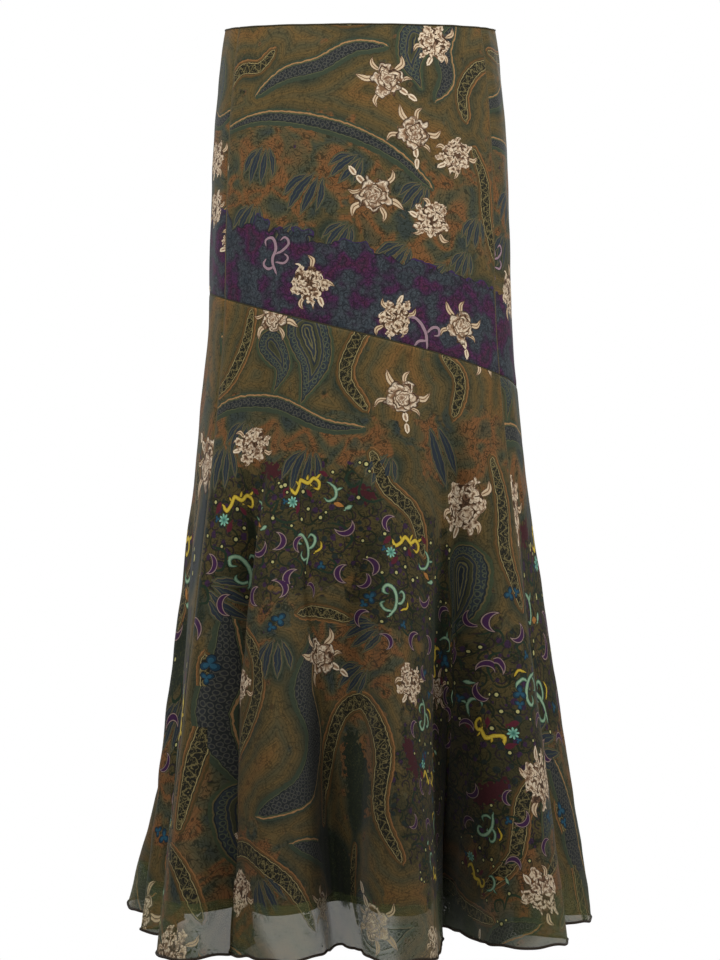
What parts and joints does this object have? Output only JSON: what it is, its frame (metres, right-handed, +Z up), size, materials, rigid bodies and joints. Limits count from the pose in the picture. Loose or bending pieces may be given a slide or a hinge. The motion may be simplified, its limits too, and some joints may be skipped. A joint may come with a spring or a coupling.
{
  "type": "midi skirt",
  "caption": "Flared midi skirt of sheer printed chiffon with a slanting hip yoke, hanging in flutes over a shorter plain lining.",
  "frame": {"origin": "middle of the waist opening, level with the waist edge at the sides", "axes": "+Z up along the body, +X across from side to side, -Y the front; the yoke's seam is highest on the -X side"},
  "size_m": [0.4781, 0.4552, 0.9077],
  "materials": {
    "printed_chiffon": "sheer crinkle-free chiffon, printed in dark olive, rust, navy and plum with cream flowers, matt",
    "lining_cloth": "plain dark olive woven lining, slightly glossy"
  },
  "bodies": {
    "root": {"yoke_front": "printed_chiffon", "yoke_back": "printed_chiffon", "skirt_front": "printed_chiffon", "skirt_back": "printed_chiffon", "lining_front": "lining_cloth", "lining_back": "lining_cloth"}
  },
  "joints": []
}
